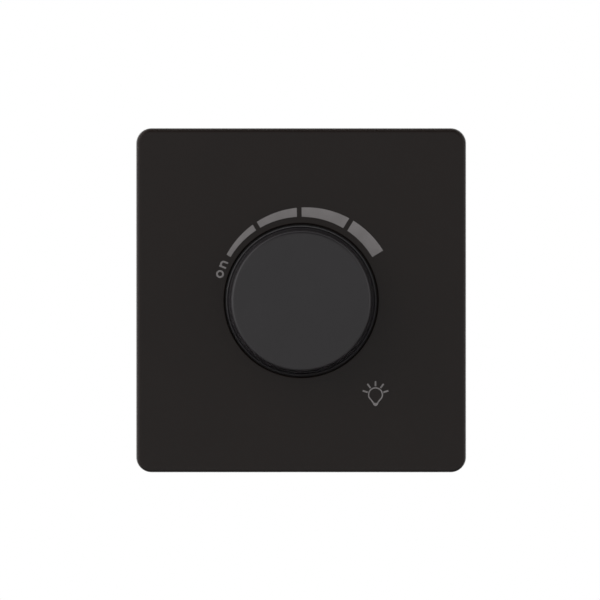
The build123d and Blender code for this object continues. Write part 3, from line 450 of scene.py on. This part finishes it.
knobPlastic = mouldedPlastic("knobPlastic", knob["colour"], knob["roughness"], knob["specular"],
                             knob["grain"], knob["grainDepth"], knob["mottle"])
addPiece("knobCap", [knobMesh(), *knobRibs()], knobPlastic, "dial", ["knob"])


# Print on the plate: flat strokes a few hundredths of a millimetre thick.
# Each ray of the lamp sign has its angle from upright, its far end and its near end
ink = {
    "thickness": 0.04, "sunk": 0.005, "under": 0.01,
    "wordFoot": (-19.52, 8.394), "wordTurn": 68.5, "wordStroke": 0.48,
    "letterO": (-1.99, 0.93), "roundO": 0.79,
    "stemHeight": 1.9, "letterWidth": 1.375, "archFoot": 1.03, "archStart": 168.0,
    "lampCentre": (19.343, -24.534), "lampRadius": 1.8, "lampStroke": 0.34,
    "neckStart": -20.0, "neckPull": 0.27, "neckEnd": (0.57, -2.12), "endPull": (0.22, 0.48),
    "baseTop": -2.12, "baseFoot": -2.95, "baseWidth": 1.42, "baseRound": 0.65,
    "rays": ((0.0, 3.54, 2.2), (-36.5, 3.54, 2.18), (36.5, 3.54, 2.18),
             (-72.5, 3.50, 2.14), (72.5, 3.50, 2.14)),
    "rayStroke": 0.43,
    "roundSteps": 64, "stemSteps": 9, "archSteps": 25, "neckSteps": 24, "bulbSteps": 61, "baseSteps": 17,
    "raySteps": 7,
    "tones": (linear(101, 98, 98), linear(109, 106, 106)), "roughness": 0.52, "specular": 0.2,
    "screenScale": 5200.0, "driftScale": 300.0, "screenGloss": 0.1, "skinDepth": 0.003, "skinStrength": 0.5,
}
plateFront = -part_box("face_plate")[0].y / mm
inkLow, inkHigh = plateFront - ink["sunk"], plateFront + ink["thickness"]


def ribbon(path, width, low, high, closed=False):
    # a stroke: the path's two edges half a width away along its normals, between two heights
    if closed:
        run = np.roll(path, -1, axis=0) - np.roll(path, 1, axis=0)
    else:
        run = np.gradient(path, axis=0)
    normal = np.stack([-run[:, 1], run[:, 0]], axis=1) / np.linalg.norm(run, axis=1, keepdims=True)
    count = len(path)
    reach = normal * (np.broadcast_to(width, count)[:, None] / 2)
    section = [(path + reach, low), (path + reach, high), (path - reach, high), (path - reach, low)]
    rows = [np.stack([flat[:, 0], np.full(count, -height), flat[:, 1]], axis=1) for flat, height in section]
    points = np.stack(rows, axis=1).reshape(-1, 3)
    faces = gridQuads(count, 4, closed, True)
    if not closed:
        last = 4 * (count - 1)
        faces += [[0, 1, 2, 3], [last, last + 1, last + 2, last + 3]]
    return points, faces


def wordStrokes():
    # the word "on" in strokes, drawn along a baseline and turned to follow the scale.
    # The arch runs into the stem and lies a little under it
    turn = math.radians(ink["wordTurn"])
    spin = np.array([[math.cos(turn), math.sin(turn)], [-math.sin(turn), math.cos(turn)]])
    half, wide, steps = ink["letterWidth"] / 2, ink["letterWidth"], ink["stemSteps"]
    ring = arc(ink["letterO"], ink["roundO"], 0, 360, ink["roundSteps"] + 1)[:-1]
    stem = np.linspace((0, 0), (0, ink["stemHeight"]), steps)
    rise = ink["stemHeight"] - ink["wordStroke"] / 2 - ink["archFoot"]
    bend = arc((0, 0), 1, ink["archStart"], 0, ink["archSteps"]) * (half, rise) + (half, ink["archFoot"])
    leg = np.linspace((wide, ink["archFoot"]), (wide, 0), steps)[1:]
    arch = np.concatenate([bend, leg])
    for path, closed, under in ((ring, True, 0), (stem, False, 0), (arch, False, ink["under"])):
        yield ribbon(path @ spin + ink["wordFoot"], ink["wordStroke"], inkLow, inkHigh - under, closed)


def lampStrokes():
    # the lamp sign: a round bulb drawn in by two mirrored cubic curves to a filled base, under five rays.
    # The base's half width falls off as a power of one less its depth squared
    centre = np.array(ink["lampCentre"])
    start = math.radians(ink["neckStart"])
    shoulder = ink["lampRadius"] * np.array([math.cos(start), math.sin(start)])
    heading = np.array([math.sin(start), -math.cos(start)])
    end = np.array(ink["neckEnd"])
    pull = [shoulder, shoulder + ink["neckPull"] * heading, end + ink["endPull"], end]
    share = np.linspace(0, 1, ink["neckSteps"])[1:, None]
    weights = ((1 - share) ** 3, 3 * share * (1 - share) ** 2, 3 * share ** 2 * (1 - share), share ** 3)
    neck = sum(weight * point for weight, point in zip(weights, pull))
    bulb = arc((0, 0), ink["lampRadius"], 180 - ink["neckStart"], ink["neckStart"], ink["bulbSteps"])
    outline = np.concatenate([(neck * (-1, 1))[::-1], bulb, neck])
    yield ribbon(outline + centre, ink["lampStroke"], inkLow, inkHigh)
    depth = np.sin(np.linspace(0, math.pi / 2, ink["baseSteps"])[:-1])
    level = ink["baseTop"] + (ink["baseFoot"] - ink["baseTop"]) * depth
    fall = np.stack([np.zeros_like(depth), level], axis=1)
    width = ink["baseWidth"] * (1 - depth ** 2) ** ink["baseRound"]
    yield ribbon(fall + centre, width, inkLow, inkHigh - ink["under"])
    for angle, far, near in ink["rays"]:
        aim = np.array([math.sin(math.radians(angle)), math.cos(math.radians(angle))])
        path = centre + np.linspace(near, far, ink["raySteps"])[:, None] * aim
        yield ribbon(path, ink["rayStroke"], inkLow, inkHigh)


def printInk():
    # pad print: flat grey ink with a fine screen of tone and a slightly uneven skin
    finish = newFinish("printInk")
    place = finish.place()
    fine = finish.noise(place, ink["screenScale"], 2.0)
    drift = finish.noise(place, ink["driftScale"], 2.0)
    base = finish.blend(finish.ease(fine * 0.5 + drift * 0.5, *noiseSpan), *ink["tones"])
    rough = ink["roughness"] + fine.sway(ink["screenGloss"])
    return finish.surface(Base_Color=base, Roughness=rough, Specular_IOR_Level=ink["specular"],
                          Normal=finish.bump(fine, ink["skinDepth"] * mm, ink["skinStrength"]))


inkFinish = printInk()
addPiece("wordPrint", wordStrokes(), inkFinish, "base")
addPiece("lampPrint", lampStrokes(), inkFinish, "base")
print("front pieces done")


# Finishes of the CAD nodes
tinColour = (0.68, 0.67, 0.64, 1)
wired = {"speckScale": 1800.0, "dark": 0.88, "light": 1.1, "bandHalf": 0.32, "roughness": 0.3, "gloss": 0.2,
         "skinDepth": 0.01, "skinStrength": 0.4}
leaded = {"cloudScale": 220.0, "grainGloss": 0.15, "grainDepth": 0.015, "grainStrength": 0.5}
triac = {"tab": 6.4, "body": 9.2, "grainScale": 2600.0, "tones": (linear(24, 24, 25), linear(36, 36, 37)),
         "roughness": 0.55, "tinGloss": 0.2, "grainGloss": 0.1, "grainDepth": 0.01, "grainStrength": 0.6}
board = {"fibreScale": 700.0, "tans": (linear(138, 106, 60), linear(166, 132, 82)),
         "islandScale": 150.0, "islandSpread": 0.7, "islandEdge": (0.05, 0.08),
         "greens": (linear(20, 48, 34), linear(44, 104, 66)), "maskFrom": 0.2,
         "roughness": 0.6, "maskGloss": 0.28, "fibreGloss": 0.12,
         "fibreShare": 0.3, "reliefDepth": 0.03, "reliefStrength": 0.5}
winding = {"turnScale": 700.0, "toneScale": 500.0, "turnShare": 0.6, "toneShare": 0.4,
           "coppers": ((0.30, 0.10, 0.035, 1), (0.72, 0.31, 0.13, 1)), "roughness": 0.28, "gloss": 0.12,
           "turnDepth": 0.12, "turnStrength": 0.8}


def wiredPart(name, node, paint, half, bands=()):
    # a round component along z: lacquered body with colour bands, and bright metal past its half length
    finish = newFinish(name)
    low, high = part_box(node)
    place = finish.place()
    along = finish.axis(place, "Z") - (low.z + high.z) / 2
    speck = finish.noise(place, wired["speckScale"], 3.0)
    base = finish.blend(speck, shaded(paint, wired["dark"]), shaded(paint, wired["light"]))
    for middle, colour in bands:
        base = finish.blend(abs(along - middle * mm) < wired["bandHalf"] * mm, base, colour)
    metal = abs(along) > half * mm
    base = finish.blend(metal, base, tinColour)
    rough = wired["roughness"] + speck * wired["gloss"]
    return finish.surface(Base_Color=base, Metallic=metal, Roughness=rough,
                          Normal=finish.bump(speck, wired["skinDepth"] * mm, wired["skinStrength"]))


def leadedPart(name, paint, roughness, grain, mottle):
    # a component that stands on the board: moulded body, and tinned wires behind the board's front face
    finish = newFinish(name)
    place = finish.place()
    cloud = finish.noise(place, leaded["cloudScale"], 3.0)
    fine = finish.noise(place, 1000.0 / grain, 2.0)
    metal = finish.axis(place, "Y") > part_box("circuit_board")[0].y
    base = finish.blend(metal, finish.mottled(cloud, paint, mottle), tinColour)
    rough = roughness + fine.sway(leaded["grainGloss"])
    return finish.surface(Base_Color=base, Metallic=metal, Roughness=rough,
                          Normal=finish.bump(fine, leaded["grainDepth"] * mm, leaded["grainStrength"]))


def triacFinish():
    # moulded epoxy between the tinned tab at its right end and the three wires at its left
    finish = newFinish("triacFinish")
    place = finish.place()
    x = finish.axis(place, "X")
    fine = finish.noise(place, triac["grainScale"], 2.0)
    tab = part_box("triac")[1].x - triac["tab"] * mm
    metal = (x > tab).top(x < tab - triac["body"] * mm)
    base = finish.blend(metal, finish.blend(fine, *triac["tones"]), tinColour)
    rough = triac["roughness"] - metal * triac["tinGloss"] + fine.sway(triac["grainGloss"])
    return finish.surface(Base_Color=base, Metallic=metal, Roughness=rough,
                          Normal=finish.bump(fine, triac["grainDepth"] * mm, triac["grainStrength"]))


def boardFinish():
    # tan paper laminate; on its back, copper islands under a green mask with bare gaps between them
    finish = newFinish("boardFinish")
    place = finish.place()
    fibre = finish.noise(place, board["fibreScale"], 4.0, 0.6)
    across = finish.node("ShaderNodeMapping", {}, {"Vector": place, "Scale": (1.0, 0.0, 1.0)})
    cells = {"Vector": across, "Scale": board["islandScale"], "Randomness": board["islandSpread"]}
    islands = finish.node("ShaderNodeTexVoronoi", {"feature": "DISTANCE_TO_EDGE"}, cells)
    copper = finish.ease(islands, *board["islandEdge"])
    masked = finish.axis(place, "Y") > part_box("circuit_board")[1].y - board["maskFrom"] * mm
    base = finish.blend(masked, finish.blend(fibre, *board["tans"]), finish.blend(copper, *board["greens"]))
    rough = board["roughness"] - masked * board["maskGloss"] + fibre.sway(board["fibreGloss"])
    relief = fibre * board["fibreShare"] + copper
    return finish.surface(Base_Color=base, Roughness=rough,
                          Normal=finish.bump(relief, board["reliefDepth"] * mm, board["reliefStrength"]))


def windingFinish():
    # enamelled wire: fine turns side by side along the drum
    finish = newFinish("windingFinish")
    place = finish.place()
    wave = {"Vector": place, "Scale": winding["turnScale"]}
    turns = finish.node("ShaderNodeTexWave", {"bands_direction": "Y"}, wave)
    tone = finish.noise(place, winding["toneScale"], 2.0)
    base = finish.blend(turns * winding["turnShare"] + tone * winding["toneShare"], *winding["coppers"])
    rough = winding["roughness"] + tone * winding["gloss"]
    return finish.surface(Base_Color=base, Metallic=1.0, Roughness=rough,
                          Normal=finish.bump(turns, winding["turnDepth"] * mm, winding["turnStrength"]))


resistorBands = ((-2.1, linear(96, 52, 26)), (-0.9, linear(20, 18, 18)), (0.3, linear(206, 92, 30)),
                 (1.9, linear(176, 138, 62)))
framePlastic = mouldedPlastic("framePlastic", linear(44, 44, 45), 0.5, 0.25, 0.4, 0.012, 0.09)
casePlastic = mouldedPlastic("casePlastic", linear(40, 40, 42), 0.47, 0.25, 0.45, 0.014, 0.09)
zincSteel = platedMetal("zincSteel", (0.62, 0.62, 0.60, 1), 0.34)
aluminium = platedMetal("aluminiumSheet", (0.74, 0.74, 0.75, 1), 0.38, (1.0, 1.0, 0.04), 2200.0)
dieCast = platedMetal("dieCast", (0.52, 0.52, 0.53, 1), 0.5, scale=1500.0)
brass = platedMetal("brass", (0.74, 0.53, 0.22, 1), 0.3, (0.06, 1.0, 1.0), 1800.0)
bronze = platedMetal("bronze", (0.66, 0.40, 0.18, 1), 0.32)
phenolic = mouldedPlastic("phenolic", linear(86, 55, 34), 0.45, 0.4, grain=0.5, mottle=0.16)
padGrey = mouldedPlastic("padGrey", linear(142, 147, 152), 0.7, 0.3, grain=0.6)
ferrite = leadedPart("ferrite", linear(46, 46, 48), 0.55, 0.35, 0.18)
yellowFilm = leadedPart("yellowFilm", linear(208, 162, 44), 0.4, 0.8, 0.05)
redFilm = leadedPart("redFilm", linear(132, 36, 24), 0.25, 1.2, 0.10)
resistorPaint = wiredPart("resistorPaint", "resistors", linear(196, 168, 122), 3.2, resistorBands)
diacPaint = wiredPart("diacPaint", "diac", linear(52, 84, 132), 2.1, ((1.3, linear(16, 18, 22)),))
fuseCeramic = wiredPart("fuseCeramic", "fuse", linear(222, 218, 208), 4.6)

finishes = {
    "brightness_scale": inkFinish, "mounting_frame": framePlastic, "rear_case": casePlastic,
    "support_plate": aluminium, "frame_screws": zincSteel, "pot_bushing": dieCast, "pot_shaft": brass,
    "shaft_clip": zincSteel, "pot_rotor": phenolic, "pot_wiper": bronze, "pot_wafer": phenolic,
    "pot_tags": brass, "pot_can": zincSteel, "switch_cup": phenolic, "switch_pins": brass,
    "lock_washer": zincSteel, "bushing_nut": zincSteel, "circuit_board": boardFinish(),
    "board_screws": zincSteel, "triac": triacFinish(), "triac_pad": padGrey, "triac_screw": zincSteel,
    "choke_core": ferrite, "choke_winding": windingFinish(), "suppression_capacitor": yellowFilm,
    "timing_capacitor": redFilm, "resistors": resistorPaint, "diac": diacPaint, "fuse": fuseCeramic,
    "terminal_pillars": brass, "terminal_screws": zincSteel,
}


# Marks moulded on the case's back above the wire mouths: a letter L for the supply and an arrow for the lamp
marks = {
    "ribHeight": 1.2, "proud": 0.22, "sunk": 0.05, "stroke": 0.5, "height": 2.6, "foot": 1.6,
    "headStart": 1.5, "headWidth": 1.7, "headTip": 0.02, "apart": 10.0, "level": -14.4,
}


def markStrokes():
    # each stroke runs straight between two places, across and up as seen from behind, where across is -x
    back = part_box("rear_case")[1].y / mm - marks["ribHeight"]
    low, high = marks["sunk"] - back, -marks["proud"] - back
    edge, line = marks["stroke"] / 2, marks["stroke"]
    stem, head = (0, marks["height"]), (0, marks["headStart"])
    strokes = (
        (-1, (0, 0), stem, line), (-1, (edge, edge), (marks["foot"], edge), line),
        (1, (0, 0), head, line), (1, head, stem, (marks["headWidth"], marks["headTip"])),
    )
    for side, start, end, width in strokes:
        path = np.linspace(start, end, 2) * (-1, 1) + (-side * marks["apart"], marks["level"])
        yield ribbon(path, width, low, high)


addPiece("terminalMarks", markStrokes(), casePlastic, "base")


def softGroup():
    # merges a node's loose triangles and shades it smooth, apart from edges sharper than the limit
    group = bpy.data.node_groups.new("softEdges", "GeometryNodeTree")
    group.interface.new_socket("Geometry", in_out="INPUT", socket_type="NodeSocketGeometry")
    group.interface.new_socket("Geometry", in_out="OUTPUT", socket_type="NodeSocketGeometry")
    start = group.nodes.new("NodeGroupInput")
    merge = group.nodes.new("GeometryNodeMergeByDistance")
    merge.inputs["Distance"].default_value = weld["node"]
    smooth = group.nodes.new("GeometryNodeSetShadeSmooth")
    smooth.domain = "FACE"
    angle = group.nodes.new("GeometryNodeInputMeshEdgeAngle")
    limit = group.nodes.new("FunctionNodeCompare")
    limit.operation = "GREATER_THAN"
    limit.inputs[1].default_value = sharpAngle
    sharp = group.nodes.new("GeometryNodeSetShadeSmooth")
    sharp.domain = "EDGE"
    sharp.inputs["Shade Smooth"].default_value = False
    end = group.nodes.new("NodeGroupOutput")
    for left, right in ((start.outputs[0], merge.inputs[0]), (merge.outputs[0], smooth.inputs[0]),
                        (smooth.outputs[0], sharp.inputs[0]), (angle.outputs[0], limit.inputs[0]),
                        (limit.outputs[0], sharp.inputs["Selection"]), (sharp.outputs[0], end.inputs[0])):
        group.links.new(left, right)
    return group


softEdges = softGroup()
for name, finish in finishes.items():
    node = nodes[name]
    node.data.materials.clear()
    node.data.materials.append(finish)
    soft = node.modifiers.new("softEdges", "NODES")
    soft.node_group = softEdges
    flat = node.modifiers.new("flatFaces", "WEIGHTED_NORMAL")
    flat.keep_sharp = True
print("CAD nodes finished:", len(finishes))


# Floor, light and camera. Each lamp has its name, its place and size in metres, and its power in watts
studio = {
    "floorDrop": 52.0, "floorReach": 480.0, "floorSteps": 9, "floorFade": (0.6, 0.97),
    "floorTone": 0.54, "floorMottle": 1.03, "floorGrain": 40.0,
    "softRim": 0.50, "softFace": 0.42, "mirrorRim": 0.30, "mirrorFace": 0.555, "mirrorEnds": (0.0, 0.7),
    "topDim": 0.92, "topEnds": (0.05, 0.85), "sideEnds": (0.3, 0.95),
    "leftGlow": 0.95, "leftAim": (-0.92, 0.26, 0.28), "rightGlow": 0.7, "rightAim": (0.86, 0.34, 0.30),
    "belt": 0.06, "beltDim": 0.98, "beltEnds": (0.12, 0.30),
    "lineGlow": 1.4, "lineAim": (-0.26, 0.0, 0.97), "lineEnds": (0.03, 0.10), "lineFade": (-0.4, 1.0),
    "lamps": (("leftLamp", (-0.70, -0.20, 0.60), 1.2, 13.0), ("rightLamp", (0.84, -0.10, 0.30), 0.6, 4.5),
              ("sideLamp", (-0.88, -0.02, 0.20), 0.3, 7.0), ("backLeftLamp", (-0.72, 0.50, 0.30), 0.9, 4.0),
              ("backRightLamp", (0.72, 0.50, 0.40), 0.9, 4.0)),
}


def floorPiece():
    # a square sheet below the part, pale in the middle and fading out before its border.
    # It is clear from below and for mirror rays
    reach, steps = studio["floorReach"], studio["floorSteps"]
    drop = cadBox[0].z / mm - studio["floorDrop"]
    place = np.linspace(-reach, reach, steps)
    y, x = np.meshgrid(place, place, indexing="ij")
    points = np.stack([x, y, np.full_like(x, drop)], axis=-1).reshape(-1, 3) * mm
    mesh = bpy.data.meshes.new("floor")
    mesh.from_pydata(points.tolist(), [], gridQuads(steps, steps, False, False))
    finish = newFinish("floorFinish")
    spot = finish.place()
    grain = finish.noise(spot, studio["floorGrain"], 3.0)
    far = finish.node("ShaderNodeVectorMath", {"operation": "LENGTH"}, {0: spot}, out="Value")
    grey = (*[studio["floorTone"]] * 3, 1)
    lit = finish.node("ShaderNodeBsdfDiffuse", {}, {
        "Color": finish.blend(grain, grey, shaded(grey, studio["floorMottle"]))})
    clear = finish.node("ShaderNodeBsdfTransparent")
    below = finish.node("ShaderNodeNewGeometry", out="Backfacing")
    start, end = [reach * share * mm for share in studio["floorFade"]]
    fade = finish.ease(far, start, end).top(below).top(finish.ray("Is Glossy Ray"))
    mixed = finish.node("ShaderNodeMixShader", {}, {0: fade, 1: lit, 2: clear})
    finish.node("ShaderNodeOutputMaterial", {}, {"Surface": mixed})
    mesh.materials.append(finish.owner)
    floor = bpy.data.objects.new("floor", mesh)
    scene.collection.objects.link(floor)


def studioWorld():
    # white to the camera. Other rays see a white surround that is brightest straight in front of and behind
    # the plate; for mirror rays it is dim overhead and in a belt round the part's middle, and glows at both
    # sides and along a thin line in the belt, which the knob's lip catches
    world = bpy.data.worlds.new("studio")
    finish = Finish(world)
    heading = finish.node("ShaderNodeTexCoord", out="Generated")
    y, z = finish.axis(heading, "Y"), finish.axis(heading, "Z")
    facing = abs(y)

    def glowing(side, ends):
        # light that grows towards one direction
        toward = {0: heading, 1: studio[side + "Aim"]}
        near = finish.node("ShaderNodeVectorMath", {"operation": "DOT_PRODUCT"}, toward, out="Value")
        return finish.ease(near, *ends, 0.0, studio[side + "Glow"])

    glow = glowing("left", studio["sideEnds"]) + glowing("right", studio["sideEnds"])
    dim = 1 - finish.ease(z, *studio["topEnds"], 0.0, studio["topDim"])
    offBelt = abs(y - studio["belt"])
    around = finish.ease(offBelt, *studio["mirrorEnds"], studio["mirrorRim"], studio["mirrorFace"])
    surround = around * dim + glow
    belt = finish.ease(offBelt, *studio["beltEnds"], 1.0, 0.0)
    line = finish.ease(facing, *studio["lineEnds"], 1.0, 0.0)
    mirrored = surround * (1 - belt * studio["beltDim"]) + line * glowing("line", studio["lineFade"])
    soft = studio["softRim"] + facing * facing * studio["softFace"]
    mirror = finish.ray("Is Glossy Ray").top(finish.ray("Is Transmission Ray"))
    indirect = mirror * mirrored + (1 - mirror) * soft
    strength = finish.ray("Is Camera Ray").top(indirect)
    shader = finish.node("ShaderNodeBackground", {}, {"Color": (1, 1, 1, 1), "Strength": strength})
    finish.node("ShaderNodeOutputWorld", {}, {"Surface": shader})
    scene.world = world


def areaLamp(name, place, size, power):
    # a square soft lamp turned to the part's middle, which only lights and isn't seen or mirrored
    data = bpy.data.lights.new(name, "AREA")
    data.shape = "SQUARE"
    data.size = size
    data.energy = power
    lamp = bpy.data.objects.new(name, data)
    scene.collection.objects.link(lamp)
    lamp.location = place
    lamp.visible_camera = False
    lamp.visible_glossy = False
    middle = (cadBox[0] + cadBox[1]) / 2
    lamp.rotation_euler = (middle - lamp.location).to_track_quat("-Z", "Y").to_euler()


floorPiece()
studioWorld()
for lampSettings in studio["lamps"]:
    areaLamp(*lampSettings)
print("floor, world and lamps done:", len(studio["lamps"]), "lamps")

# The plate's middle lies at this pixel of the 600 pixel frame, at this scale on the plate's front edge
camera = {
    "lens": 800.0, "sensor": 36.0, "clipEnd": 20.0, "frame": 600, "scale": 3.843, "middle": (301.15, 300.45),
    "edgeHeight": 7.9, "rise": 0.35,
}


def photoCamera():
    # stands far off, square to the plate but slightly raised, and aims so that the plate's middle falls on
    # its pixel. The distance makes a millimetre on the plate as many pixels as the scale says
    data = bpy.data.cameras.new("photoCamera")
    data.lens = camera["lens"]
    data.sensor_width = camera["sensor"]
    data.clip_end = camera["clipEnd"]
    distance = camera["lens"] / camera["sensor"] * camera["frame"] / camera["scale"] * mm
    rise = math.radians(camera["rise"])
    shiftX, shiftZ = [(camera["frame"] / 2 - pixel) / camera["scale"] * mm for pixel in camera["middle"]]
    body = bpy.data.objects.new("photoCamera", data)
    scene.collection.objects.link(body)
    target = np.array([shiftX, -camera["edgeHeight"] * mm, -shiftZ])
    body.location = target + distance * np.array([0.0, -math.cos(rise), math.sin(rise)])
    body.rotation_euler = (math.pi / 2 - rise, 0.0, 0.0)
    scene.camera = body


photoCamera()
